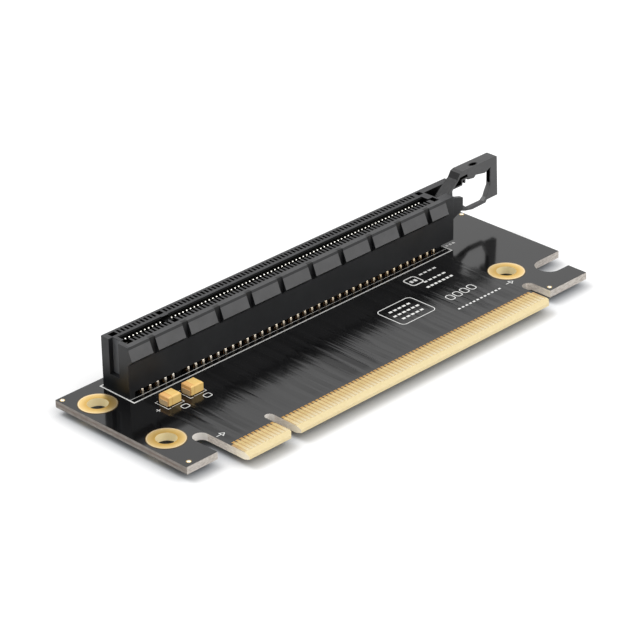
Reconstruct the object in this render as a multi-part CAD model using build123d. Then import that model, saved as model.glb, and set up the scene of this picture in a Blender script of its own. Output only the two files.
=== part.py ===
from build123d import *
import math
import os

# Right-angle x16 riser card: a black board with an edge tab along its front and a
# through-hole card slot standing on it near the back, with a hinged card latch.
# Millimetres. X runs along the slot, Y from the edge tab to the slot, Z up.
# The origin is on the key notch's centre line, at the tab's front edge and on the
# board's underside.

# Contact pattern, shared by the edge fingers and the slot
pitch = 1.0
pins_before_key = 11
pins_after_key = 71
key_centre_to_pin = 1.5
first_pin_x = -key_centre_to_pin - pitch * (pins_before_key - 1)
last_pin_x = key_centre_to_pin + pitch * (pins_after_key - 1)

# Edge tab with its key notch
tab_side_margin = 1.1
tab_left = first_pin_x - tab_side_margin
tab_right = last_pin_x + tab_side_margin
tab_corner_chamfer = 0.8
key_width = 1.9
key_depth = 8.5
bevel_depth = 1.3
bevel_angle = 20.0

# Board, with the ears beside the tab and the cut-outs round them
board_thickness = 1.57
left_recess_width = 3.3
left_ear_width = 7.75
left_ear_right = tab_left - left_recess_width
board_left = left_ear_right - left_ear_width
board_back = 41.7
left_ear_front = 5.05
left_recess_top = 12.9
right_recess_width = 2.8
right_ear_width = 11.35
right_ear_left = tab_right + right_recess_width
right_ear_right = right_ear_left + right_ear_width
right_ear_front = 2.75
right_recess_top = 8.7
board_past_right_ear = 3.65
board_right = right_ear_right + board_past_right_ear
side_notch_front = 7.6
side_notch_back = 13.35
side_notch_reach = 6.6
side_notch_centre_x = board_right - side_notch_reach

# Edge fingers
finger_width = 0.7
finger_back = 5.6
finger_thickness = 0.04

# Plated mounting holes
screw_hole_radius = 2.1
sleeve_wall = 0.15
sleeve_pad_radius = 3.81
sleeve_pad_thickness = 0.06
plating_clearance = 0.02
left_holes_inset = 4.58
rear_hole_inset = 6.98
left_front_hole_inset = 10.47
right_front_hole_inset = 0.49
right_front_hole_rise = 6.4
mount_holes = {
    "mount_sleeve_left_rear": (board_left + left_holes_inset, board_back - rear_hole_inset),
    "mount_sleeve_left_front": (board_left + left_holes_inset,
                                left_ear_front + left_front_hole_inset),
    "mount_sleeve_right_front": (right_ear_left + right_front_hole_inset,
                                 right_recess_top + right_front_hole_rise),
}

# Plated vias at the corners, each placed from its own two edges
via_sides = 10
via_hole_radius = 0.25
via_wall = 0.1
via_pad_radius = 0.5
via_pad_thickness = 0.05
left_rear_via_inset = (0.82, 1.09)
left_front_via_inset = (1.68, 1.28)
right_rear_via_inset = (0.8, 1.77)
right_front_via_inset = (1.1, 1.17)
vias = {
    "corner_via_left_rear": (board_left + left_rear_via_inset[0],
                             board_back - left_rear_via_inset[1]),
    "corner_via_left_front": (board_left + left_front_via_inset[0],
                              left_ear_front + left_front_via_inset[1]),
    "corner_via_right_rear": (board_right - right_rear_via_inset[0],
                              board_back - right_rear_via_inset[1]),
    "corner_via_right_front": (right_ear_left + right_front_via_inset[0],
                               right_ear_front + right_front_via_inset[1]),
}

# Slot housing
slot_centre_inset = 6.65
slot_centre_y = board_back - slot_centre_inset
housing_past_first_pin = 2.45
housing_past_last_pin = 5.95
housing_left = first_pin_x - housing_past_first_pin
housing_right = last_pin_x + housing_past_last_pin
housing_width = 7.5
housing_height = 11.25
standoff = 1.25

# Card gap with its key rib
card_gap = 1.75
card_gap_past_first_pin = 0.65
card_gap_past_last_pin = 1.35
card_gap_left = first_pin_x - card_gap_past_first_pin
card_gap_right = last_pin_x + card_gap_past_last_pin
card_gap_depth = 8.35
lead_in = 0.3
key_rib_width = 1.7
key_rib_drop = 0.62

# Wedge blocks along both long walls
wedge_reach = 1.15
wedge_nose_drop = 2.75
wedge_heel_drop = 3.9
wedge_right_inset = 2.7
rear_wedge_left_inset = 1.45
groove_width = 1.45
groove_pitch = 8.53
first_groove_inset = 6.25
first_groove_x = housing_left + first_groove_inset
groove_count = 10

# Slits over the contacts, and the wide pockets between and beyond them; the front
# ones open into the card gap
slit_width = 0.55
slit_depth = 2.3
rear_slit_inside = 1.85
rear_slit_outside = 3.15
front_slit_inside = 0.7
front_slit_outside = 2.55
left_pocket_width = 1.5
left_pocket_from_pin = 0.55
key_pocket_width = 1.3
right_pocket_width = 1.4
right_pocket_from_pin = 2.05

# Recess in the closed end
end_recess_depth = 1.05
end_recess_front = 1.1
end_recess_back = 1.6
end_recess_drop = 7.6

# Feet and locating pegs
foot_length = 1.4
foot_half_width = 2.4
peg_radius = 1.15
peg_sides = 16
peg_clearance = 0.05
peg_reach = 0.4
right_peg_from_pin = 2.8
right_peg_x = last_pin_x + right_peg_from_pin

# Contacts
outer_row_offset = 3.25
inner_row_offset = 1.25
contact_thickness = 0.3
contact_width = 0.45
contact_knee = 1.85
contact_tip_drop = 0.92
contact_tip_offset = 0.75
tail_reach = 1.5

# Tantalum capacitors
capacitor_length = 3.5
capacitor_width = 2.8
capacitor_height = 2.05
capacitor_lift = 0.12
capacitor_bevel = 0.25
terminal_width = 2.2
terminal_height = 1.1
terminal_thickness = 0.15
terminal_foot = 0.8
capacitor_row_inset = 9.85
capacitors = {
    "capacitor_left": (-9.1, slot_centre_y - capacitor_row_inset),
    "capacitor_right": (-3.3, slot_centre_y - capacitor_row_inset),
}

# Open end of the housing: latch cavity and the two cheeks
cavity_length = 2.8
cavity_left = housing_right - cavity_length
cavity_front = 1.5
cavity_back = 2.1
cavity_floor = 5.6
cheek_overlap = 0.5
rear_cheek_length = 5.35
front_cheek_length = 4.3
rear_cheek_end = housing_right + rear_cheek_length
front_cheek_end = housing_right + front_cheek_length
front_cheek_thickness = 1.0
front_cheek_drop = 0.9
front_cheek_end_drop = 2.1
cheek_underside = 5.9

# Pivot of the latch, in blind holes in both cheeks
pivot_from_housing = 1.95
pivot_x = housing_right + pivot_from_housing
pivot_z = 8.77
trunnion_radius = 0.8
pivot_clearance = 0.05
pivot_hole_depth = 0.6
hub_radius = 2.0

# Latch
latch_side_clearance = 0.15
latch_width = 2.7
latch_web = 1.15
latch_top = 15.97
latch_reach = 14.2
latch_right = pivot_x + latch_reach
leg_thickness = 2.0
leg_groove_rim = 0.15
leg_groove_depth = 0.8
leg_groove_bottom = 10.35
neck_pocket_depth = 1.0
lower_arm_underside = 6.07
pad_corner_cut = 0.3
pad_dimple_depth = 0.9

slot_top = board_thickness + housing_height
wall_bottom = board_thickness + standoff
half_width = housing_width / 2
latch_front = slot_centre_y - cavity_front + latch_side_clearance
latch_back = latch_front + latch_width
pin_xs = [first_pin_x + pitch * i for i in range(pins_before_key)]
pin_xs += [key_centre_to_pin + pitch * i for i in range(pins_after_key)]


def box_between(x0, x1, y0, y1, z0, z1):
    """A box given by its two opposite corners."""
    centre = Pos((x0 + x1) / 2, (y0 + y1) / 2, (z0 + z1) / 2)
    return centre * Box(x1 - x0, y1 - y0, z1 - z0)


def area_between(x0, x1, y0, y1):
    """A flat rectangle given by its two opposite corners."""
    return Pos((x0 + x1) / 2, (y0 + y1) / 2) * Rectangle(x1 - x0, y1 - y0)


def prism_along_x(points_yz, x0, x1):
    """A closed Y-Z outline swept along X from x0 to x1."""
    wire = Polyline([(x0, y, z) for y, z in points_yz], close=True)
    return extrude(make_face(wire), x1 - x0, dir=(1, 0, 0))


def prism_along_y(points_xz, y0, y1):
    """A closed X-Z outline swept along Y from y0 to y1."""
    wire = Polyline([(x, y0, z) for x, z in points_xz], close=True)
    return extrude(make_face(wire), y1 - y0, dir=(0, 1, 0))


def pin_along_y(x, z, radius, y0, y1):
    """A cylinder lying along Y from y0 to y1."""
    middle = Pos(x, (y0 + y1) / 2, z)
    return middle * Rot(90, 0, 0) * Cylinder(radius, y1 - y0)


def save(node, shape):
    """Write one node as a STEP file; a list of solids becomes one group."""
    if isinstance(shape, list):
        shape = Compound(children=shape)
    export_step(shape, f"parts/{node}.step")


# Circuit board
def via_outline(radius):
    """A via is too small to need a rounder outline."""
    return RegularPolygon(radius, via_sides)


def front_slot(x0, x1, top):
    """A cut-out from the front edge with a rounded end at top."""
    radius = (x1 - x0) / 2
    end = Pos((x0 + x1) / 2, top - radius) * Circle(radius)
    return area_between(x0, x1, -1, top - radius) + end


def side_notch():
    """The cut-out from the right edge with a rounded inner end."""
    radius = (side_notch_back - side_notch_front) / 2
    end = Pos(side_notch_centre_x, side_notch_front + radius) * Circle(radius)
    return end + area_between(side_notch_centre_x, board_right + 1,
                              side_notch_front, side_notch_back)


def tab_corner(x, side):
    """The triangle taken off one front corner of the tab; side is 1 at its right end."""
    size = tab_corner_chamfer
    return make_face(Polyline([(x, 0), (x, size), (x - side * size, 0)], close=True))


def board_outline():
    outline = area_between(board_left, board_right, 0, board_back)
    outline -= area_between(board_left, left_ear_right, 0, left_ear_front)
    outline -= front_slot(left_ear_right, tab_left, left_recess_top)
    outline -= front_slot(-key_width / 2, key_width / 2, key_depth)
    outline -= front_slot(tab_right, right_ear_left, right_recess_top)
    outline -= area_between(right_ear_left, board_right, 0, right_ear_front)
    outline -= area_between(right_ear_right, board_right, 0, side_notch_front)
    outline -= side_notch()
    outline -= tab_corner(-key_width / 2, 1)
    outline -= tab_corner(tab_right, 1)
    return outline


def bevel_cut(face_z, inward):
    """The wedge taken off the tab's front edge at one face of the board."""
    drop = bevel_depth * math.tan(math.radians(bevel_angle))
    points = [(0, face_z), (bevel_depth, face_z), (0, face_z + inward * drop)]
    return prism_along_x(points, tab_left, tab_right)


def circuit_board():
    outline = board_outline()
    sleeve_radius = screw_hole_radius + sleeve_wall + plating_clearance
    for x, y in mount_holes.values():
        outline -= Pos(x, y) * Circle(sleeve_radius)
    via_radius = via_hole_radius + via_wall + plating_clearance
    for x, y in vias.values():
        outline -= Pos(x, y) * via_outline(via_radius)
    for x in (0, right_peg_x):
        outline -= Pos(x, slot_centre_y) * RegularPolygon(peg_radius + peg_clearance, peg_sides)
    board = extrude(outline, board_thickness)
    board -= bevel_cut(board_thickness, -1)
    board -= bevel_cut(0, 1)
    return board


# Gold on the board
def edge_fingers(face_z):
    pad = Box(finger_width, finger_back - bevel_depth, finger_thickness)
    middle_y = (finger_back + bevel_depth) / 2
    return [Pos(x, middle_y, face_z + finger_thickness / 2) * pad for x in pin_xs]


def plated_hole(place, outline, hole_radius, wall, pad_radius, pad_thickness):
    """A plated barrel through the board with a pad on each face."""
    hole = outline(hole_radius)
    pad = extrude(outline(pad_radius) - hole, pad_thickness)
    sleeve = extrude(outline(hole_radius + wall) - hole, board_thickness)
    sleeve += Pos(0, 0, board_thickness) * pad
    sleeve += Pos(0, 0, -pad_thickness) * pad
    return Pos(*place) * sleeve


# Slot housing
def wedge_block(x0, x1, side):
    """One wedge block between two grooves; side is 1 on the rear wall."""
    wall = slot_centre_y + side * half_width
    nose = wall + side * wedge_reach
    points = [(wall, slot_top), (nose, slot_top - wedge_nose_drop)]
    points += [(wall, slot_top - wedge_heel_drop)]
    return prism_along_x(points, x0, x1)


def wedge_row(left, side):
    """The blocks along one wall, from left to the right end."""
    edges = [left]
    for i in range(groove_count):
        centre = first_groove_x + groove_pitch * i
        edges += [centre - groove_width / 2, centre + groove_width / 2]
    edges.append(housing_right - wedge_right_inset)
    return [wedge_block(x0, x1, side) for x0, x1 in zip(edges[0::2], edges[1::2])]


def card_gap_part(x0, x1):
    """One length of the card gap, with a lead-in along both sides of its mouth."""
    half = card_gap / 2
    floor = slot_top - card_gap_depth
    profile = [(-half, floor), (half, floor), (half, slot_top - lead_in)]
    profile += [(half + lead_in, slot_top), (-half - lead_in, slot_top)]
    profile += [(-half, slot_top - lead_in)]
    return prism_along_x([(slot_centre_y + y, z) for y, z in profile], x0, x1)


def slits():
    """A slit beside the card gap for every pin, and a pocket at the key and at each end."""
    spans = [(x, slit_width) for x in pin_xs]
    spans.append((first_pin_x - left_pocket_from_pin, left_pocket_width))
    spans.append((0, key_pocket_width))
    spans.append((last_pin_x + right_pocket_from_pin, right_pocket_width))
    rows = [(slot_centre_y + rear_slit_inside, slot_centre_y + rear_slit_outside)]
    rows.append((slot_centre_y - front_slit_outside, slot_centre_y - front_slit_inside))
    openings = [area_between(x - width / 2, x + width / 2, y0, y1)
                for x, width in spans for y0, y1 in rows]
    return Pos(0, 0, slot_top - slit_depth) * extrude(Sketch() + openings, slit_depth)


def end_recess():
    """The notch in the closed left end, open at its top."""
    return box_between(housing_left, housing_left + end_recess_depth,
                       slot_centre_y - end_recess_front, slot_centre_y + end_recess_back,
                       slot_top - end_recess_drop, slot_top)


def foot(x0, x1, half):
    """A standoff foot from the board's top face up to the body."""
    return box_between(x0, x1, slot_centre_y - half, slot_centre_y + half,
                       board_thickness, wall_bottom)


def rear_cheek():
    """The rear cheek, flush with the housing's top; its underside rises to the end."""
    start = housing_right - cheek_overlap
    points = [(start, cheek_underside), (housing_right, cheek_underside)]
    points += [(rear_cheek_end - 0.4, cheek_underside + 1.4)]
    points += [(rear_cheek_end, cheek_underside + 2.4), (rear_cheek_end, slot_top)]
    points += [(start, slot_top)]
    return prism_along_y(points, slot_centre_y + cavity_back, slot_centre_y + half_width)


def front_cheek():
    """The thinner and lower front cheek, with a sloping top edge."""
    start = housing_right - cheek_overlap
    points = [(start, cheek_underside), (housing_right, cheek_underside)]
    points += [(front_cheek_end - 2.25, cheek_underside + 1.15)]
    points += [(front_cheek_end - 0.75, cheek_underside + 1.75)]
    points += [(front_cheek_end, cheek_underside + 2.1)]
    points += [(front_cheek_end, slot_top - front_cheek_end_drop)]
    points += [(housing_right, slot_top - front_cheek_drop), (start, slot_top - front_cheek_drop)]
    back = slot_centre_y - cavity_front
    return prism_along_y(points, back - front_cheek_thickness, back)


def slot_housing():
    body = box_between(housing_left, housing_right, slot_centre_y - half_width,
                       slot_centre_y + half_width, wall_bottom, slot_top)
    body += wedge_row(housing_left, -1)
    body += wedge_row(housing_left + rear_wedge_left_inset, 1)
    body += [rear_cheek(), front_cheek()]
    body += [foot(housing_left, housing_left + foot_length, half_width)]
    for x in (0, right_peg_x):
        body += [foot(x - foot_length / 2, x + foot_length / 2, foot_half_width)]
    peg = extrude(RegularPolygon(peg_radius, peg_sides), wall_bottom + peg_reach)
    body += [Pos(x, slot_centre_y, -peg_reach) * peg for x in (0, right_peg_x)]
    body -= card_gap_part(card_gap_left, -key_rib_width / 2)
    body -= card_gap_part(key_rib_width / 2, card_gap_right)
    half_gap = card_gap / 2
    body -= box_between(-key_rib_width / 2, key_rib_width / 2, slot_centre_y - half_gap,
                        slot_centre_y + half_gap, slot_top - key_rib_drop, slot_top)
    body -= slits()
    body -= end_recess()
    body -= box_between(cavity_left, housing_right, slot_centre_y - cavity_front,
                        slot_centre_y + cavity_back, cavity_floor, slot_top)
    body -= pin_along_y(pivot_x, pivot_z, trunnion_radius + pivot_clearance,
                        slot_centre_y - cavity_front - pivot_hole_depth,
                        slot_centre_y + cavity_back + pivot_hole_depth)
    return body


# Contacts
def contact_row(offset, side, xs):
    """A row of spring strips from their solder tails up to tips in the card gap."""
    half = contact_thickness / 2
    knee_z = board_thickness + contact_knee
    tip_z = slot_top - contact_tip_drop
    path = [(offset, -tail_reach), (offset, knee_z), (contact_tip_offset, tip_z)]
    inner = [(slot_centre_y + side * (y - half), z) for y, z in path]
    outer = [(slot_centre_y + side * (y + half), z) for y, z in reversed(path)]
    strip = prism_along_x(inner + outer, -contact_width / 2, contact_width / 2)
    return [Pos(x, 0, 0) * strip for x in xs]


# Capacitors
def capacitor_body(x, y):
    """The moulded body, its upper edges bevelled."""
    length = capacitor_length - 2 * terminal_thickness
    height = capacitor_height - capacitor_lift
    lower = Box(length, capacitor_width, height)
    top_edges = lower.faces().sort_by(Axis.Z)[-1].edges()
    lower = chamfer(top_edges, capacitor_bevel)
    middle_z = board_thickness + capacitor_lift + height / 2
    return Pos(x, y, middle_z) * lower


def capacitor_terminals(x, y):
    """A strip up each end face, with a foot under the body."""
    ends = []
    for side in (-1, 1):
        outside = side * capacitor_length / 2
        inside = outside - side * terminal_thickness
        foot_end = outside - side * terminal_foot
        profile = [(outside, 0), (outside, terminal_height), (inside, terminal_height)]
        profile += [(inside, capacitor_lift), (foot_end, capacitor_lift), (foot_end, 0)]
        points = [(x + px, board_thickness + pz) for px, pz in profile]
        ends.append(prism_along_y(points, y - terminal_width / 2, y + terminal_width / 2))
    return ends


# Retention latch
def latch_outline():
    """The latch seen from the front: ramp, neck, pad, leg, foot and lower arm."""
    px, pz = pivot_x, pivot_z
    right, top, low = latch_right, latch_top, lower_arm_underside
    points = [(px - 2.4, pz + 2.5), (px + 0.1, pz + 4.5), (px + 1.8, pz + 5.7)]
    points += [(px + 2.6, top - 0.25), (px + 3.4, top), (right - 0.15, top)]
    points += [(right, top - 0.15), (right + 0.35, low + 0.75), (right - 3, low + 0.7)]
    points += [(right - 3.4, low + 0.15), (px + 6.7, low), (px + 4.4, low + 0.45)]
    points += [(px + 3.1, low + 0.9), (px, pz - hub_radius), (px - 2, pz)]
    return points


def latch_opening():
    """The opening between the neck, the upper arm, the leg and the lower arm."""
    px, pz = pivot_x, pivot_z
    inside, top, low = latch_right - leg_thickness, latch_top, lower_arm_underside
    points = [(px + 0.4, pz + 1.7), (px + 0.3, pz + 3.7), (px + 0.6, pz + 4)]
    points += [(px + 3.4, pz + 4), (px + 3.5, pz + 5.1), (px + 3.95, pz + 5.1)]
    points += [(px + 4, pz + 4.3), (px + 4.35, pz + 4.3), (px + 4.4, pz + 5.1)]
    points += [(px + 4.85, pz + 5.1), (px + 5.1, pz + 4.75), (px + 7, pz + 4.5)]
    points += [(px + 7.6, pz + 5), (inside - 1.7, top - 2.7), (inside, top - 1.9)]
    points += [(inside, low + 3.7), (inside - 0.8, low + 2.25), (inside - 1.2, low + 1.3)]
    points += [(inside - 2.1, low + 0.6), (px + 5.55, low + 0.6)]
    return points


def neck_pocket():
    """The shallow pocket in the front of the neck, above the opening."""
    px, pz = pivot_x, pivot_z
    points = [(px + 1, pz + 4.3), (px + 2.7, pz + 6), (px + 4.8, pz + 6.1)]
    points += [(px + 5.1, pz + 5.45), (px + 3.15, pz + 5.4), (px + 3.1, pz + 4.3)]
    return prism_along_y(points, latch_front, latch_front + neck_pocket_depth)


def leg_groove():
    """The groove up the inner side of the leg."""
    inside = latch_right - leg_thickness
    return box_between(inside - 0.5, inside + leg_groove_depth,
                       latch_front + leg_groove_rim, latch_front + latch_web - leg_groove_rim,
                       leg_groove_bottom, latch_top - 1.9)


def retention_latch():
    front, back = latch_front, latch_back
    latch = prism_along_y(latch_outline(), front, back)
    latch -= prism_along_y(latch_opening(), front, back)
    latch += pin_along_y(pivot_x, pivot_z, hub_radius, front, back)
    latch -= box_between(pivot_x + hub_radius + 0.4, latch_right + 1, front + latch_web,
                         back, lower_arm_underside - 1, pivot_z + 1.5)
    latch -= box_between(latch_right - leg_thickness - 2.8, latch_right + 1,
                         front + latch_web, back, pivot_z, latch_top - 2.6)
    latch -= [neck_pocket(), leg_groove()]
    corner = [(latch_right - pad_corner_cut, back), (latch_right + 1, back)]
    corner += [(latch_right + 1, back - pad_corner_cut - 1)]
    corner_face = make_face(Polyline([(x, y, 0) for x, y in corner], close=True))
    latch -= extrude(corner_face, latch_top + 1)
    dimple = Pos(pivot_x + 7.6, (front + back) / 2 - 0.4) * Ellipse(1, 0.5)
    latch -= Pos(0, 0, latch_top - pad_dimple_depth) * extrude(dimple, pad_dimple_depth)
    latch += pin_along_y(pivot_x, pivot_z, trunnion_radius,
                         slot_centre_y - cavity_front - pivot_hole_depth + pivot_clearance,
                         slot_centre_y + cavity_back + pivot_hole_depth - pivot_clearance)
    return latch


os.makedirs("parts", exist_ok=True)
save("circuit_board", circuit_board())
save("edge_fingers_top", edge_fingers(board_thickness))
save("edge_fingers_bottom", edge_fingers(-finger_thickness))
for name, place in mount_holes.items():
    save(name, plated_hole(place, Circle, screw_hole_radius, sleeve_wall,
                           sleeve_pad_radius, sleeve_pad_thickness))
for name, place in vias.items():
    save(name, plated_hole(place, via_outline, via_hole_radius, via_wall,
                           via_pad_radius, via_pad_thickness))
save("slot_housing", slot_housing())
save("contacts_front_outer", contact_row(outer_row_offset, -1, pin_xs[1::2]))
save("contacts_front_inner", contact_row(inner_row_offset, -1, pin_xs[0::2]))
save("contacts_rear_inner", contact_row(inner_row_offset, 1, pin_xs[0::2]))
save("contacts_rear_outer", contact_row(outer_row_offset, 1, pin_xs[1::2]))
for name, (centre_x, centre_y) in capacitors.items():
    save(name + "_body", capacitor_body(centre_x, centre_y))
    save(name + "_terminals", capacitor_terminals(centre_x, centre_y))
save("retention_latch", retention_latch())
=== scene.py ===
import math

import bmesh
import bpy
from mathutils import Matrix, Vector


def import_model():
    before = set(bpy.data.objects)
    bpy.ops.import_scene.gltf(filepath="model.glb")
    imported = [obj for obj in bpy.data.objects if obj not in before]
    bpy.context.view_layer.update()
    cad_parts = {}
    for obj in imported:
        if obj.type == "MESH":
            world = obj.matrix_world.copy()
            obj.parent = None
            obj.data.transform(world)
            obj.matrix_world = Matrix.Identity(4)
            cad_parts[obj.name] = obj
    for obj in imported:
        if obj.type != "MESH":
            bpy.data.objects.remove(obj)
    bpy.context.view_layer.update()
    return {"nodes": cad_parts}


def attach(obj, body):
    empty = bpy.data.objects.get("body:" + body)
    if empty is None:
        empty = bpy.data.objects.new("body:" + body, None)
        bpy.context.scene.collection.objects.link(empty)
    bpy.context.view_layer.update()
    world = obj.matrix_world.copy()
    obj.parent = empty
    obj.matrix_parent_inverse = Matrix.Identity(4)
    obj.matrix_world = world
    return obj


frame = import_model()
nodes = frame["nodes"]

MM = 0.001

# Sizes repeated from the part, in millimetres; a groove takes a share of its pitch
BOARD_TOP = 1.57
BOARD_MIDDLE = 0.785
TAB_LEFT, TAB_RIGHT = -12.6, 72.6
LEFT_RECESS_LEFT = -15.9
RIGHT_RECESS_RIGHT = 75.4
KEY_HALF = 0.95
SLOT_Y = 35.05
SLOT_TOP = 12.82
GROOVE_PITCH = 8.53
GROOVE_SHARE = 0.17
FIRST_GROOVE = -7.7
END_RECESS_X = -12.9
PINS_BEFORE_KEY = 11
PINS_AFTER_KEY = 71
KEY_TO_PIN = 1.5
INNER_ROW, OUTER_ROW = 1.25, 3.25
CAPACITORS = [(-9.1, 25.2), (-3.3, 25.2)]
SCREW_HOLES = [(-19.07, 34.72), (-19.07, 15.52), (75.89, 15.1)]
VIAS = [(-22.83, 40.61), (-21.97, 6.33), (89.6, 39.93), (76.5, 3.92)]
VIA_PAD = 0.05
PIVOT = (79.4, 8.77)
PINS = [-KEY_TO_PIN - i for i in reversed(range(PINS_BEFORE_KEY))]
PINS += [KEY_TO_PIN + i for i in range(PINS_AFTER_KEY)]

# Camera, solved from the photo: angles in degrees, and its place in millimetres
# across, above and behind a point on the board
CAMERA_LENS = 164.83
CAMERA_SENSOR = 36
CAMERA_ANGLES = (45.01, 27.76, -0.835)
CAMERA_POINT = Vector((-11.5, 1.5, BOARD_TOP))
CAMERA_OFFSET = (13.472, 23.758, 542.727)

# Stage, in metres; each lamp has a name, a place, a size and a power in watts
FLOOR_Z = -0.0015
FLOOR_SIZE = 6
FLOOR_SHADOW_REACH = 0.009
FLOOR_SHADOW_FALLOFF = 1.15
FLOOR_SHADOW = (0.40, 0.425, 0.46)
FLOOR_WHITE = (0.93, 0.93, 0.93)
FLOOR_LIFT = 0.16
WORLD_LIGHT = 0.55
STAGE_CENTRE = (0.03, 0.02, 0)
LAMPS = [("key", (-0.25, 0.45, 0.85), 0.6, 5.0), ("fill", (0.3, -0.7, 0.6), 0.7, 4.0)]

# Widths of the printed lines, in millimetres
OUTLINE_WIDTH = 0.3
INNER_WIDTH = 0.14
FINE_WIDTH = 0.07
PART_WIDTH = 0.13
ARROW_WIDTH = 0.16


def camera():
    data = bpy.data.cameras.new("Camera")
    data.lens = CAMERA_LENS
    data.sensor_width = CAMERA_SENSOR
    data.clip_start = 0.01
    data.clip_end = 20
    cam = bpy.data.objects.new("Camera", data)
    bpy.context.scene.collection.objects.link(cam)
    azimuth, elevation, roll = (math.radians(a) for a in CAMERA_ANGLES)
    back = Vector((-math.sin(azimuth) * math.cos(elevation),
                   -math.cos(azimuth) * math.cos(elevation), math.sin(elevation)))
    right = Vector((0, 0, 1)).cross(back).normalized()
    up = back.cross(right)
    x = right * math.cos(roll) + up * math.sin(roll)
    y = up * math.cos(roll) - right * math.sin(roll)
    across, above, behind = CAMERA_OFFSET
    place = (x * across + y * above + back * behind + CAMERA_POINT) * MM
    turn = Matrix((x, y, back)).transposed().to_4x4()
    cam.matrix_world = Matrix.Translation(place) @ turn
    bpy.context.scene.camera = cam


def rgb(code):
    """A display colour such as e8cc88 as linear numbers."""
    parts = [int(code[i:i + 2], 16) / 255 for i in (0, 2, 4)]
    return tuple(c / 12.92 if c <= 0.04045 else ((c + 0.055) / 1.055) ** 2.4 for c in parts)


# Node helpers
class Nodes:
    """A short way to build the node tree of a material or a world."""

    def __init__(self, owner):
        owner.use_nodes = True
        self.owner = owner
        self.tree = owner.node_tree

    def add(self, kind, **settings):
        node = self.tree.nodes.new(kind)
        for key, value in settings.items():
            setattr(node, key, value)
        return node

    def link(self, out, socket):
        self.tree.links.new(out, socket)

    def feed(self, node, key, value):
        if hasattr(value, "is_output"):
            self.link(value, node.inputs[key])
        else:
            node.inputs[key].default_value = value

    def math(self, operation, a, b=0.0, c=0.0):
        node = self.add("ShaderNodeMath", operation=operation)
        for index, value in enumerate((a, b, c)):
            self.feed(node, index, value)
        return node.outputs[0]

    def spread(self, value, low, high, to_low, to_high):
        """Value moved from the range low to high to another, and held at its ends."""
        node = self.add("ShaderNodeMapRange")
        for index, number in enumerate((value, low, high, to_low, to_high)):
            self.feed(node, index, number)
        return node.outputs[0]

    def mix(self, factor, a, b):
        """Colour a where factor is 0 and b where it is 1; a colour may be a code."""
        node = self.add("ShaderNodeMix", data_type="RGBA")
        self.feed(node, 0, factor)
        for index, value in ((6, a), (7, b)):
            if isinstance(value, str):
                value = rgb(value)
            self.feed(node, index, (*value, 1) if isinstance(value, tuple) else value)
        return node.outputs[2]

    # Masks: 1 where the name holds, 0 elsewhere
    def below(self, value, limit):
        return self.math("LESS_THAN", value, limit)

    def above(self, value, limit):
        return self.math("GREATER_THAN", value, limit)

    def between(self, value, low, high):
        return self.math("MULTIPLY", self.above(value, low), self.below(value, high))

    def near(self, value, centre, reach):
        return self.below(self.math("ABSOLUTE", self.math("SUBTRACT", value, centre)), reach)

    def both(self, *masks):
        result = masks[0]
        for mask in masks[1:]:
            result = self.math("MULTIPLY", result, mask)
        return result

    def either(self, *masks):
        result = masks[0]
        for mask in masks[1:]:
            result = self.math("MAXIMUM", result, mask)
        return result


class Material(Nodes):
    """The node tree of one new material."""

    def __init__(self, name):
        super().__init__(bpy.data.materials.new(name))
        self.shader = self.tree.nodes["Principled BSDF"]
        self.coords = self.add("ShaderNodeTexCoord")

    def xyz(self, vector):
        node = self.add("ShaderNodeSeparateXYZ")
        self.link(vector, node.inputs[0])
        return node.outputs

    def place(self):
        """The point's x, y and z in millimetres."""
        node = self.add("ShaderNodeVectorMath", operation="SCALE")
        self.link(self.coords.outputs["Object"], node.inputs[0])
        node.inputs["Scale"].default_value = 1 / MM
        return self.xyz(node.outputs[0])

    def normal(self):
        return self.xyz(self.coords.outputs["Normal"])

    def noise(self, scale, detail=3.0, stretch=(1, 1, 1), roughness=0.5):
        mapping = self.add("ShaderNodeMapping")
        self.link(self.coords.outputs["Object"], mapping.inputs[0])
        mapping.inputs["Scale"].default_value = stretch
        node = self.add("ShaderNodeTexNoise")
        self.link(mapping.outputs[0], node.inputs["Vector"])
        node.inputs["Scale"].default_value = scale
        node.inputs["Detail"].default_value = detail
        node.inputs["Roughness"].default_value = roughness
        return node.outputs[0]

    def grain(self, scale, low, high, detail=3, stretch=(1, 1, 1)):
        """Noise spread over most of the range from low to high."""
        return self.spread(self.noise(scale, detail, stretch), 0.3, 0.7, low, high)

    def bump(self, height, distance, strength=1.0, edge=0.0, normal=None):
        """Relief from a height, over edges rounded by edge metres or over a given normal."""
        node = self.add("ShaderNodeBump")
        node.inputs["Strength"].default_value = strength
        node.inputs["Distance"].default_value = distance
        self.link(height, node.inputs["Height"])
        if edge:
            bevel = self.add("ShaderNodeBevel", samples=6)
            bevel.inputs["Radius"].default_value = edge
            normal = bevel.outputs[0]
        if normal:
            self.link(normal, node.inputs["Normal"])
        self.link(node.outputs[0], self.shader.inputs["Normal"])

    def leaned(self, amount):
        """The surface's own normal, leaned along Y by amount."""
        push = self.add("ShaderNodeCombineXYZ")
        self.link(amount, push.inputs[1])
        total = self.add("ShaderNodeVectorMath", operation="ADD")
        self.link(self.add("ShaderNodeNewGeometry").outputs["Normal"], total.inputs[0])
        self.link(push.outputs[0], total.inputs[1])
        unit = self.add("ShaderNodeVectorMath", operation="NORMALIZE")
        self.link(total.outputs[0], unit.inputs[0])
        return unit.outputs[0]

    def set(self, **values):
        for key, value in values.items():
            self.feed(self.shader, key.replace("_", " "), value)


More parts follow.
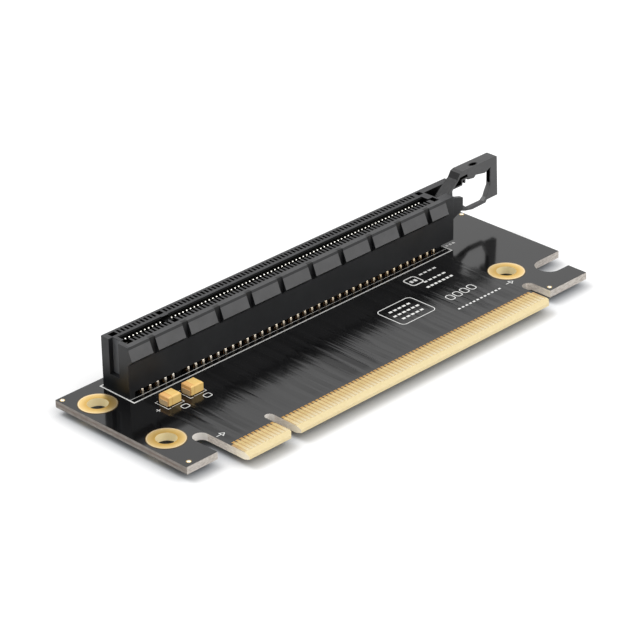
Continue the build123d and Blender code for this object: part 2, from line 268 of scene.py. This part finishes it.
# Materials
def board_material():
    """Glossy black mask on the faces, layered glass fibre on the cut edges."""
    n = Material("board_black")
    x, y, z = n.place()
    facing_x, facing_y, facing_z = n.normal()
    flat = n.math("ABSOLUTE", facing_z)
    face = n.above(flat, 0.98)
    bevel = n.between(flat, 0.3, 0.98)
    on_tab = n.between(x, TAB_LEFT + 0.05, TAB_RIGHT - 0.05)
    bare = n.both(on_tab, n.below(y, 4.9), face)
    masked = n.math("SUBTRACT", face, bare)

    # Copper tracks that show as streaks in the mask's gloss
    tracked = n.both(n.spread(y, 5.5, 8, 0, 1), n.spread(y, 28.5, 31, 1, 0), on_tab)
    streaks = n.spread(n.noise(700, 3, (1, 0.02, 1)), 0.42, 0.58, 0, 1)
    patches = n.spread(n.noise(60, 2, (1, 0.3, 1)), 0.40, 0.60, 0.2, 1)
    tracks = n.both(streaks, patches, tracked)
    mask = n.mix(tracks, "0e0e0f", "0b0b0c")

    # Sawn fibre edges, with thin dark skins and a brown core
    layers_per_mm = 5.2
    layers = n.math("FRACT", n.math("MULTIPLY", z, layers_per_mm))
    fibre = n.mix(n.spread(layers, 0.2, 0.8, 0, 1), "807870", "6b655e")
    dust = n.spread(n.noise(900, 3, (1, 1, 4)), 0.35, 0.7, 0, 1)
    fibre = n.mix(dust, fibre, "938c84")
    core = n.both(n.between(z, 0.55, 1.0), n.spread(n.noise(500, 3, (1, 1, 3)), 0.3, 0.6, 0.3, 1))
    fibre = n.mix(core, fibre, "6e5f57")
    depth = n.math("ABSOLUTE", n.math("SUBTRACT", z, BOARD_MIDDLE))
    fibre = n.mix(n.above(depth, 0.71), fibre, "4a4641")

    # Routed edges are painted paler as painted light: those that face the front, and those beside
    # and in the tab, and those of these that face left paler still
    front = n.below(facing_y, -0.5)
    left_recess = n.between(x, LEFT_RECESS_LEFT - 0.2, TAB_LEFT + 0.2)
    key = n.between(x, -KEY_HALF - 0.15, KEY_HALF + 0.15)
    right_recess = n.between(x, TAB_RIGHT - 0.2, RIGHT_RECESS_RIGHT + 0.2)
    cuts = n.both(n.either(left_recess, key, right_recess), n.below(y, 13.7))
    pale = n.either(front, cuts)
    lit_left_edges = n.both(pale, n.below(facing_x, -0.4))
    chalk = n.spread(n.noise(1200, 3, (1, 1, 3)), 0.35, 0.65, 0, 1)
    fibre = n.mix(pale, fibre, n.mix(chalk, "a79f97", "c9c2ba"))
    fibre = n.mix(lit_left_edges, fibre, n.mix(chalk, "c6bcb1", "ece3d8"))
    # The rounded ends of the left recess and of the key are painted near white, a painted
    # highlight
    left_end = n.both(n.between(x, LEFT_RECESS_LEFT - 0.1, TAB_LEFT + 0.2),
                      n.between(y, 11.2, 13.5))
    key_end = n.both(key, n.between(y, 7.2, 9))
    fibre = n.mix(n.either(left_end, key_end), fibre, "f2ede6")

    # Bare laminate between the pads, and the cream bevel; by the corners of the tab the
    # left-facing edges are painted paler still, a painted highlight
    laminate = n.mix(n.noise(1500, 2), "c2a06c", "ab8856")
    laminate = n.mix(n.spread(y, 1.3, 3.8, 0, 1), "d2bb8a", laminate)
    cream = n.mix(n.noise(1500, 2), "e9d8ac", "dcc894")
    colour = n.mix(n.either(bevel, n.both(front, n.below(y, 0.4))), fibre, cream)
    corner = n.both(lit_left_edges, n.spread(y, 0.8, 6.5, 1, 0))
    colour = n.mix(corner, colour, "fff2d6")
    colour = n.mix(bare, colour, laminate)
    n.set(Base_Color=n.mix(masked, colour, mask))

    # Gloss: duller over the tracks, and dull from the slot's front line to the housing
    strip = n.both(n.between(x, -14.05, 75.35), n.between(y, 29.9, 31.6))
    gloss = n.math("SUBTRACT", 0.5, n.math("MULTIPLY", tracked, 0.04))
    gloss = n.math("SUBTRACT", gloss, n.math("MULTIPLY", strip, 0.2))
    n.set(Roughness=n.math("SUBTRACT", 0.6, n.both(masked, gloss)))
    shine = n.spread(n.both(tracks, masked), 0, 1, 0.6, 0.26)
    n.set(Specular_IOR_Level=n.math("MULTIPLY", shine, n.spread(strip, 0, 1, 1, 0.06)))
    height = n.math("ADD", tracks, n.math("MULTIPLY", n.noise(90, 2), 0.35))
    lean = n.spread(n.noise(1300, 3, (1, 0.012, 1), 0.7), 0.33, 0.67, -0.014, 0.014)
    n.bump(n.both(height, masked), 0.00005, normal=n.leaned(n.both(lean, masked, tracked)))
    return n.owner


def housing_material():
    """Satin black plastic: sloping panels, top and rim painted pale as painted light; painted
    shade darkens the inside of the slot.
    """
    n = Material("moulding_black")
    x, y, z = n.place()
    facing_x, _, facing_z = n.normal()
    tone = n.grain(260, 0, 1, detail=4)
    # Painted light: the sloping panels, the top and the rim along its front are painted paler than
    # the walls
    panels = n.both(n.between(facing_z, 0.25, 0.6), n.below(z, SLOT_TOP - 0.5))
    colour = n.mix(panels, n.mix(tone, "18191b", "1f2022"), n.mix(tone, "49494a", "545455"))
    top = n.above(z, SLOT_TOP - 0.02)
    colour = n.mix(top, colour, n.mix(tone, "2a2a2c", "343436"))
    rim = n.both(top, n.between(y, 0, SLOT_Y - 2.6), n.between(x, -13.4, 74.2))
    colour = n.mix(rim, colour, n.mix(tone, "39393a", "434344"))

    # Painted shade round the mouths of the slits and over the ends of the grooves
    slit_shade = n.near(n.math("FRACT", x), 0.5, 0.34)
    rows = n.either(n.between(y, SLOT_Y - 2.6, SLOT_Y - 0.7),
                    n.between(y, SLOT_Y + 1.8, SLOT_Y + 3.2))
    along = n.either(n.between(x, -12, -1), n.between(x, 1, 72))
    colour = n.mix(n.both(slit_shade, rows, along, top), colour, "050505")
    turn = n.math("MULTIPLY_ADD", x, 1 / GROOVE_PITCH, 0.5 - FIRST_GROOVE / GROOVE_PITCH)
    groove = n.near(n.math("FRACT", turn), 0.5, GROOVE_SHARE / 2)
    groove = n.both(groove, rim, n.between(x, -9, 70.5), n.below(y, SLOT_Y - 3.1))
    colour = n.mix(groove, colour, "060606")

    # Painted light: the floor of the end recess is painted paler, most of all along its front
    recess = n.both(n.near(x, END_RECESS_X, 0.02), n.between(z, 5.3, 12.7))
    colour = n.mix(n.both(recess, n.between(y, 33.8, 36.7)), colour, "55575a")
    colour = n.mix(n.both(recess, n.between(y, 33.8, 34.8)), colour, "66686b")

    # Painted shade: near black inside the slot and the latch's cavity; the end is painted darker
    # low down
    inside = n.between(z, 3.5, SLOT_TOP - 0.05)
    slot = n.both(n.near(y, SLOT_Y, 3.4), n.between(x, -12.85, 74.2), inside)
    cavity = n.both(n.between(x, 74.2, 83), n.between(y, SLOT_Y - 1.6, SLOT_Y + 2.15), inside)
    inner = n.either(slot, cavity)
    end = n.both(n.below(facing_x, -0.5), n.below(x, -13.5))
    low = n.both(end, n.spread(z, 3.5, 9, 1, 0))
    colour = n.mix(low, colour, "0d1013")
    n.set(Base_Color=n.mix(inner, colour, "030303"), Roughness=n.grain(1400, 0.38, 0.47),
          Specular_IOR_Level=n.spread(n.either(inner, low), 0, 1, 0.4, 0.08))
    n.bump(n.noise(6000, 3), 0.00001, 0.5, edge=0.00008)
    return n.owner


def latch_material():
    """The latch's paler plastic, with painted light on its fronts and inner leg and painted shade
    on its ramp and in its groove, pocket and dimple.
    """
    n = Material("latch_black")
    x, y, z = n.place()
    reach = n.math("SUBTRACT", x, PIVOT[0])
    rise = n.math("SUBTRACT", z, PIVOT[1])
    facing_x, facing_y, facing_z = n.normal()
    tone = n.grain(260, 0, 1, detail=4)
    # Painted light and shade: front faces painted lighter, the ramp darker and the inner face of
    # the leg lighter still
    front = n.below(facing_y, -0.6)
    colour = n.mix(front, n.mix(tone, "2e2e2f", "343435"), n.mix(tone, "3c3c3d", "434344"))
    left = n.below(facing_x, -0.3)
    colour = n.mix(n.both(left, n.above(facing_z, 0.3)), colour, "242425")
    colour = n.mix(n.both(left, n.above(reach, 9)), colour, "6c6c6c")

    # Painted shade in the groove, the pocket and the dimple, and in a soft ring round the dimple
    groove = n.both(n.between(reach, 12.25, 13.05), n.between(y, 33.84, 34.71),
                    n.between(z, 10.3, 14.1))
    under_ramp = n.below(n.math("SUBTRACT", rise, reach), 3.36)
    beside_notch = n.either(n.below(reach, 3.12), n.above(rise, 5.35))
    pocket = n.both(n.between(y, 33.72, 34.75), n.between(z, 13.03, 14.95),
                    n.between(reach, 0.9, 5.15), under_ramp, beside_notch)
    dimple_reach, dimple_y = 7.6, 34.65
    dimple = n.both(n.near(reach, dimple_reach, 1.05), n.near(y, dimple_y, 0.55),
                    n.between(z, 15, 15.94))
    wide = n.math("DIVIDE", n.math("SUBTRACT", reach, dimple_reach), 1.35)
    deep = n.math("DIVIDE", n.math("SUBTRACT", y, dimple_y), 0.78)
    oval = n.math("ADD", n.math("POWER", wide, 2.0), n.math("POWER", deep, 2.0))
    shade_ring = n.both(n.spread(oval, 0.7, 1.05, 1, 0), n.above(z, 15.9))
    dark = n.either(groove, dimple, pocket, shade_ring)
    n.set(Base_Color=n.mix(dark, colour, "050505"), Roughness=n.grain(1400, 0.32, 0.41),
          Specular_IOR_Level=n.spread(n.either(dark, left), 0, 1, 0.5, 0.2))
    n.bump(n.noise(6000, 3), 0.00001, 0.5, edge=0.00015)
    return n.owner


def plated_material(name, shade, rough, metallic=1.0):
    """Plain plating, a little uneven."""
    n = Material(name)
    colour = rgb(shade)
    n.set(Base_Color=n.mix(n.grain(600, 0, 1), colour, tuple(c * 0.96 for c in colour)),
          Metallic=metallic, Roughness=n.grain(2500, rough - 0.04, rough + 0.05))
    n.bump(n.noise(3000, 2, (1, 0.15, 1)), 0.000003, 0.5)
    return n.owner


def contact_material():
    """Plated tails below the housing; the springs inside it are painted dark and dull, as painted
    shade.
    """
    n = Material("contact_metal")
    below = n.below(n.place()[2], 3.1)
    tail = n.mix(n.grain(600, 0, 1), "c9a077", "b98c62")
    n.set(Base_Color=n.mix(below, "1c1812", tail), Metallic=n.math("MULTIPLY", below, 0.6),
          Roughness=n.grain(2500, 0.3, 0.42))
    return n.owner


def leg_material():
    """The bowed shanks: painted bright at the top as a highlight, brown at the foot as painted
    shade, warmer towards the latch.
    """
    n = Material("leg_plating")
    x, _, z = n.place()
    bright = n.mix(n.spread(x, 10, 60, 0, 1), "fff9ee", "ffe3b0")
    bright = n.mix(n.grain(600, 0, 1), bright, "fff0d8")
    foot = n.mix(n.spread(x, 4, 30, 0, 1), "94846c", "6a4a2c")
    n.set(Base_Color=n.mix(n.spread(z, 1.6, 2.1, 0, 1), foot, bright), Metallic=0.9,
          Roughness=n.grain(2500, 0.22, 0.32))
    return n.owner


def ring_material():
    """Gold of the plated holes, with painted light and shade: pale at the rim, deeper towards the
    hole, bright down the bore.
    """
    n = Material("ring_gold")
    x, y, _ = n.place()
    reach = None
    for centre_x, centre_y in SCREW_HOLES:
        across = n.math("POWER", n.math("SUBTRACT", x, centre_x), 2.0)
        along = n.math("POWER", n.math("SUBTRACT", y, centre_y), 2.0)
        here = n.math("SQRT", n.math("ADD", across, along))
        reach = here if reach is None else n.math("MINIMUM", reach, here)
    wall = n.below(n.math("ABSOLUTE", n.normal()[2]), 0.5)
    pad = n.mix(n.grain(500, 0, 1), "fbdc98", "f2cf88")
    pad = n.mix(n.spread(reach, 2.4, 3.4, 1, 0), pad, "dfb765")
    pad = n.mix(n.between(reach, 3.6, 4.0), pad, "ffe8c0")
    n.set(Base_Color=n.mix(wall, pad, "ffefc0"), Metallic=n.spread(wall, 0, 1, 1, 0),
          Roughness=n.grain(2500, 0.34, 0.42))
    return n.owner


def finger_material():
    """Gold pads, painted paler towards the bevel as a highlight, and browner at the rear tips."""
    n = Material("finger_gold")
    y = n.place()[1]
    gold = n.mix(n.grain(900, 0, 1, stretch=(1, 0.2, 1)), "e6cc92", "dabf82")
    gold = n.mix(n.spread(y, 1.3, 3.4, 1, 0), gold, "eee0bc")
    n.set(Base_Color=n.mix(n.spread(y, 4.8, 5.3, 0, 1), gold, "c99a55"), Metallic=0.8,
          Roughness=n.grain(2500, 0.24, 0.34))
    n.bump(n.noise(3000, 2, (1, 0.15, 1)), 0.000003, 0.5)
    return n.owner


def capacitor_material():
    """Yellow epoxy, orange towards the end that carries the polarity bar."""
    n = Material("capacitor_yellow")
    x = n.place()[0]
    local = [n.math("SUBTRACT", x, centre) for centre, _ in CAPACITORS]
    end = n.either(*[n.between(value, -1.61, -0.6) for value in local])
    stripe = n.either(*[n.between(value, -0.78, -0.6) for value in local])
    not_front = n.math("SUBTRACT", 1.0, n.below(n.normal()[1], -0.6))
    body = n.mix(n.grain(900, 0, 1), "fad587", "f5cb78")
    body = n.mix(n.both(end, not_front), body, "f6c078")
    n.set(Base_Color=n.mix(n.math("MULTIPLY", stripe, 0.35), body, "cf8c48"),
          Roughness=n.grain(2500, 0.32, 0.42, detail=2))
    n.bump(n.noise(4000, 2), 0.00001, 0.4, edge=0.00015)
    return n.owner


def ink_material():
    """White print."""
    n = Material("legend_white")
    n.set(Base_Color=n.mix(n.noise(3000, 3), "f2f2f0", "e2e2df"),
          Roughness=n.grain(2500, 0.5, 0.65, detail=2))
    return n.owner


def solder_material():
    """Bright solder."""
    n = Material("solder")
    n.set(Base_Color=n.mix(n.grain(2500, 0, 1), "d5d5d3", "b4b4b2"), Metallic=1.0,
          Roughness=n.grain(3500, 0.2, 0.38))
    return n.owner


def dress(node, material):
    """Give a CAD node a material in place of its own."""
    data = nodes[node].data
    data.materials.clear()
    data.materials.append(material)


# Mesh helpers; their lengths are in millimetres
def mesh_object(name, bm, material, body):
    """A new object that rides on a body."""
    data = bpy.data.meshes.new(name)
    bm.to_mesh(data)
    bm.free()
    obj = bpy.data.objects.new(name, data)
    bpy.context.scene.collection.objects.link(obj)
    data.materials.append(material)
    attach(obj, body)


def vertex(bm, x, y, z):
    return bm.verts.new((x * MM, y * MM, z * MM))


def circle(radius, count, centre):
    """Points round a centre."""
    angles = [math.tau * i / count for i in range(count)]
    return [(centre[0] + radius * math.cos(a), centre[1] + radius * math.sin(a)) for a in angles]


def ribbon(bm, points, width, z=BOARD_TOP, thickness=0.012, closed=False):
    """A flat line along points, lying on height z."""
    path = [Vector((x, y, 0)) for x, y in points]
    count = len(path)
    sides = []
    for i, p in enumerate(path):
        before = path[i - 1] if closed or i > 0 else None
        after = path[(i + 1) % count] if closed or i < count - 1 else None
        a = (p - before).normalized() if before is not None else None
        b = (after - p).normalized() if after is not None else None
        way = ((a or b) + (b or a)).normalized()
        side = Vector((-way.y, way.x, 0))
        mitre = 1 / max(0.35, side.dot(Vector((-(a or b).y, (a or b).x, 0))))
        sides.append((p + side * width / 2 * mitre, p - side * width / 2 * mitre))
    tops = [[vertex(bm, q.x, q.y, z + thickness) for q in pair] for pair in sides]
    lows = [[vertex(bm, q.x, q.y, z) for q in pair] for pair in sides]
    for i in range(count if closed else count - 1):
        j = (i + 1) % count
        bm.faces.new((tops[i][0], tops[i][1], tops[j][1], tops[j][0]))
        bm.faces.new((tops[i][0], tops[j][0], lows[j][0], lows[i][0]))
        bm.faces.new((tops[i][1], lows[i][1], lows[j][1], tops[j][1]))
    if not closed:
        for i in (0, count - 1):
            bm.faces.new((tops[i][0], lows[i][0], lows[i][1], tops[i][1]))


def rounded_box(bm, x0, x1, y0, y1, radius, width):
    """A printed outline with rounded corners."""
    centres = ((x1 - radius, y1 - radius), (x0 + radius, y1 - radius),
               (x0 + radius, y0 + radius), (x1 - radius, y0 + radius))
    steps = 6
    corners = []
    for quarter, (cx, cy) in enumerate(centres):
        for step in range(steps + 1):
            angle = math.radians(90 * quarter + step * 90 / steps)
            corners.append((cx + radius * math.cos(angle), cy + radius * math.sin(angle)))
    ribbon(bm, corners, width, closed=True)


def bars(bm, x0, y, count, length, pitch, width):
    """A row of short printed bars along X."""
    for i in range(count):
        start = x0 + pitch * i
        ribbon(bm, [(start, y), (start + length, y)], width)


def arrow(bm, x, y, size=1.2):
    """A small printed arrow that points along +X."""
    head = [(x, y + size / 2), (x + size * 0.7, y), (x, y - size / 2)]
    ribbon(bm, [(x - size, y), (x, y)], ARROW_WIDTH)
    ribbon(bm, head, ARROW_WIDTH, closed=True)


def slot_outline(bm):
    """The box round the slot, with a second line along its front."""
    left, right, back, front, inner = -14.12, 75.4, 39.55, 29.84, 31.16
    inner_end = 6.0
    box = [(left, front), (left, back), (right, back), (right, front)]
    ribbon(bm, box, OUTLINE_WIDTH, closed=True)
    ribbon(bm, [(left, inner), (inner_end, inner)], INNER_WIDTH)
    ribbon(bm, [(inner_end, inner), (right, inner)], FINE_WIDTH)


def capacitor_outlines(bm):
    """Brackets and a small rounded box by each capacitor, and a plus sign by the left one."""
    for x, y in CAPACITORS:
        right = x + 2.05
        left = x - 2.2
        ribbon(bm, [(x - 1.2, y - 1.72), (right, y - 1.72), (right, y - 0.9)], PART_WIDTH)
        ribbon(bm, [(x - 1.5, y - 1.85), (left, y - 1.85), (left, y + 1.85), (x - 1.5, y + 1.85)],
               PART_WIDTH)
        ribbon(bm, [(x + 1.2, y + 1.72), (right, y + 1.72)], PART_WIDTH)
        rounded_box(bm, x + 0.1, x + 1.7, y - 3.9, y - 2.6, 0.4, 0.15)
    plus_x, plus_y, arm = -12.9, 24.4, 0.5
    ribbon(bm, [(plus_x, plus_y + arm), (plus_x, plus_y - arm)], INNER_WIDTH)
    ribbon(bm, [(plus_x - arm, plus_y), (plus_x + arm, plus_y)], INNER_WIDTH)


def silkscreen(material):
    """The white legend: outlines of the parts, rounded boxes and generic bars."""
    bm = bmesh.new()
    slot_outline(bm)
    capacitor_outlines(bm)
    rounded_box(bm, 44.03, 53.75, 14.2, 21.9, 1.0, 0.18)
    for x, y, count in ((45.8, 19.9, 5), (45.2, 18.05, 6), (45.8, 16.2, 5)):
        bars(bm, x, y, count, 0.85, 1.3, 0.55)
    rounded_box(bm, 57.9, 61.1, 24.4, 27.6, 0.7, 0.3)
    bars(bm, 58.6, 26.0, 2, 0.7, 1.1, 0.9)
    bars(bm, 62.3, 27.0, 4, 0.9, 1.35, 0.5)
    bars(bm, 60.6, 24.0, 5, 0.9, 1.35, 0.5)
    bars(bm, 59.3, 22.0, 7, 0.75, 1.15, 0.6)
    for i in range(4):
        rounded_box(bm, 58.6 + 2.1 * i, 60.1 + 2.1 * i, 14.6, 16.6, 0.6, 0.2)
    bars(bm, 56.6, 10.9, 12, 0.6, 1.1, 0.45)
    arrow(bm, -11.0, 9.2)
    arrow(bm, 72.6, 11.2)
    bars(bm, -13.5, 32.4, 2, 0.35, 0.6, 0.6)
    bars(bm, 75.9, 32.0, 3, 0.6, 1.0, 0.6)
    mesh_object("legend_lines", bm, material, "card")


def pad_rims(material):
    """The thin ring of bare copper where the mask stops round each screw pad."""
    bm = bmesh.new()
    radius, width, thickness = 3.87, 0.13, 0.045
    for centre in SCREW_HOLES:
        for z in (BOARD_TOP, -thickness):
            ribbon(bm, circle(radius, 64, centre), width, z, thickness, closed=True)
    mesh_object("pad_rims", bm, material, "card")


def domes(bm, radius, height, z, side):
    """Low domes of solder over the vias, standing on height z; side -1 hangs them under it."""
    levels, segments = 3, 14
    for cx, cy in VIAS:
        loops = []
        for level in range(levels):
            lift = math.radians(90 * level / levels)
            ring = circle(radius * math.cos(lift), segments, (cx, cy))
            loops.append([vertex(bm, x, y, z + side * height * math.sin(lift)) for x, y in ring])
        top = vertex(bm, cx, cy, z + side * height)
        for low, high in zip(loops, loops[1:]):
            for i in range(segments):
                j = (i + 1) % segments
                bm.faces.new((low[i], low[j], high[j], high[i]))
        for i in range(segments):
            bm.faces.new((loops[-1][i], loops[-1][(i + 1) % segments], top))
        bm.faces.new(list(reversed(loops[0])))


def via_fills(material):
    """The solder that closes the small vias."""
    bm = bmesh.new()
    radius, height = 0.36, 0.12
    domes(bm, radius, height, BOARD_TOP + VIA_PAD, 1)
    domes(bm, radius, height, -VIA_PAD, -1)
    bmesh.ops.recalc_face_normals(bm, faces=bm.faces)
    mesh_object("via_fills", bm, material, "card")


def solder_joints(material):
    """A cone of solder round each tail on the underside."""
    bm = bmesh.new()
    tip, base, height = 0.2, 0.48, 0.7
    for i, x in enumerate(PINS):
        row = OUTER_ROW if i % 2 else INNER_ROW
        for side in (-1, 1):
            place = Matrix.Translation(Vector((x, SLOT_Y + side * row, -height / 2)) * MM)
            bmesh.ops.create_cone(bm, segments=12, radius1=tip * MM, radius2=base * MM,
                                  depth=height * MM, cap_ends=True, matrix=place)
    mesh_object("solder_joints", bm, material, "card")


def contact_tips(material):
    """The rounded tip at the top of each contact, where a card's edge first meets it."""
    bm = bmesh.new()
    shape = Matrix.Diagonal((0.25, 0.25, 0.28, 1 / MM)) * MM
    offset, front_height, rear_height = 0.72, 11.3, 11.8
    for x in PINS:
        for side, height in ((-1, front_height), (1, rear_height)):
            place = Matrix.Translation(Vector((x, SLOT_Y + side * offset, height)) * MM)
            bmesh.ops.create_uvsphere(bm, u_segments=10, v_segments=8, radius=1,
                                      matrix=place @ shape)
    mesh_object("contact_tips", bm, material, "card")


def contact_shoulders(material):
    """The plated shank of each outer contact, bowed out between the housing and the board."""
    bm = bmesh.new()
    half_width, thickness = 0.23, 0.25
    bow = [(3.3, 3.2), (3.42, 2.95), (3.6, 2.62), (3.7, 2.2), (3.72, BOARD_TOP)]
    outline = bow + [(y - thickness, z) for y, z in reversed(bow)]
    count = len(outline)
    for x in PINS[1::2]:
        for side in (-1, 1):
            ends = [[vertex(bm, x + edge, SLOT_Y + side * y, z) for y, z in outline]
                    for edge in (-half_width, half_width)]
            for i in range(count):
                j = (i + 1) % count
                bm.faces.new((ends[0][i], ends[0][j], ends[1][j], ends[1][i]))
            bm.faces.new(ends[0])
            bm.faces.new(ends[1])
    bmesh.ops.recalc_face_normals(bm, faces=bm.faces)
    mesh_object("contact_shoulders", bm, material, "card")


# Stage
def world():
    """White to the eye and in reflections, softer as a light."""
    sky = bpy.data.worlds.new("World")
    bpy.context.scene.world = sky
    n = Nodes(sky)
    background = n.tree.nodes["Background"]
    path = n.add("ShaderNodeLightPath")
    seen = n.math("MAXIMUM", path.outputs["Is Camera Ray"], path.outputs["Is Glossy Ray"])
    n.feed(background, "Strength", n.spread(seen, 0, 1, WORLD_LIGHT, 1.0))
    n.feed(background, "Color", (1, 1, 1, 1))


def floor_material():
    """White floor with a painted shadow, grey close to the object; the lift shows to the camera
    alone.
    """
    n = Material("floor_white")
    openness = n.add("ShaderNodeAmbientOcclusion", samples=16)
    openness.inputs["Distance"].default_value = FLOOR_SHADOW_REACH
    clear = n.math("POWER", openness.outputs["AO"], FLOOR_SHADOW_FALLOFF)
    seen = n.math("MULTIPLY", n.add("ShaderNodeLightPath").outputs["Is Camera Ray"], clear)
    n.set(Base_Color=n.mix(clear, FLOOR_SHADOW, FLOOR_WHITE), Roughness=0.9,
          Specular_IOR_Level=0.0, Emission_Color=(1, 1, 1, 1),
          Emission_Strength=n.math("MULTIPLY", seen, FLOOR_LIFT))
    return n.owner


def stage():
    world()
    bpy.ops.mesh.primitive_plane_add(size=FLOOR_SIZE, location=(*STAGE_CENTRE[:2], FLOOR_Z))
    floor = bpy.context.object
    floor.name = "floor"
    floor.data.materials.append(floor_material())

    for name, place, size, power in LAMPS:
        light = bpy.data.lights.new(name, "AREA")
        light.energy = power
        light.size = size
        lamp = bpy.data.objects.new(name, light)
        bpy.context.scene.collection.objects.link(lamp)
        lamp.location = place
        aim = Vector(STAGE_CENTRE) - Vector(place)
        lamp.rotation_euler = aim.to_track_quat("-Z", "Y").to_euler()


camera()
board_black = board_material()
moulding_black = housing_material()
latch_black = latch_material()
ring_gold = ring_material()
rim_copper = plated_material("rim_copper", "8f7442", 0.4)
contact_bright = plated_material("contact_bright", "fffdf4", 0.2)
leg_plating = leg_material()
contact_metal = contact_material()
solder = solder_material()
terminal_tin = plated_material("terminal_tin", "dcbf90", 0.4, 0.1)
finger_gold = finger_material()
legend_white = ink_material()
dress("circuit_board", board_black)
dress("slot_housing", moulding_black)
dress("retention_latch", latch_black)
for name in nodes:
    if name.startswith("contacts"):
        dress(name, contact_metal)
    if name.startswith(("mount_sleeve", "corner_via")):
        dress(name, ring_gold)
    if name.startswith("edge_fingers"):
        dress(name, finger_gold)
    if name.endswith("_terminals"):
        dress(name, terminal_tin)
capacitor_yellow = capacitor_material()
dress("capacitor_left_body", capacitor_yellow)
dress("capacitor_right_body", capacitor_yellow)
silkscreen(legend_white)
pad_rims(rim_copper)
via_fills(contact_bright)
solder_joints(solder)
contact_tips(contact_bright)
contact_shoulders(leg_plating)
stage()
bpy.context.scene.view_settings.view_transform = "Standard"
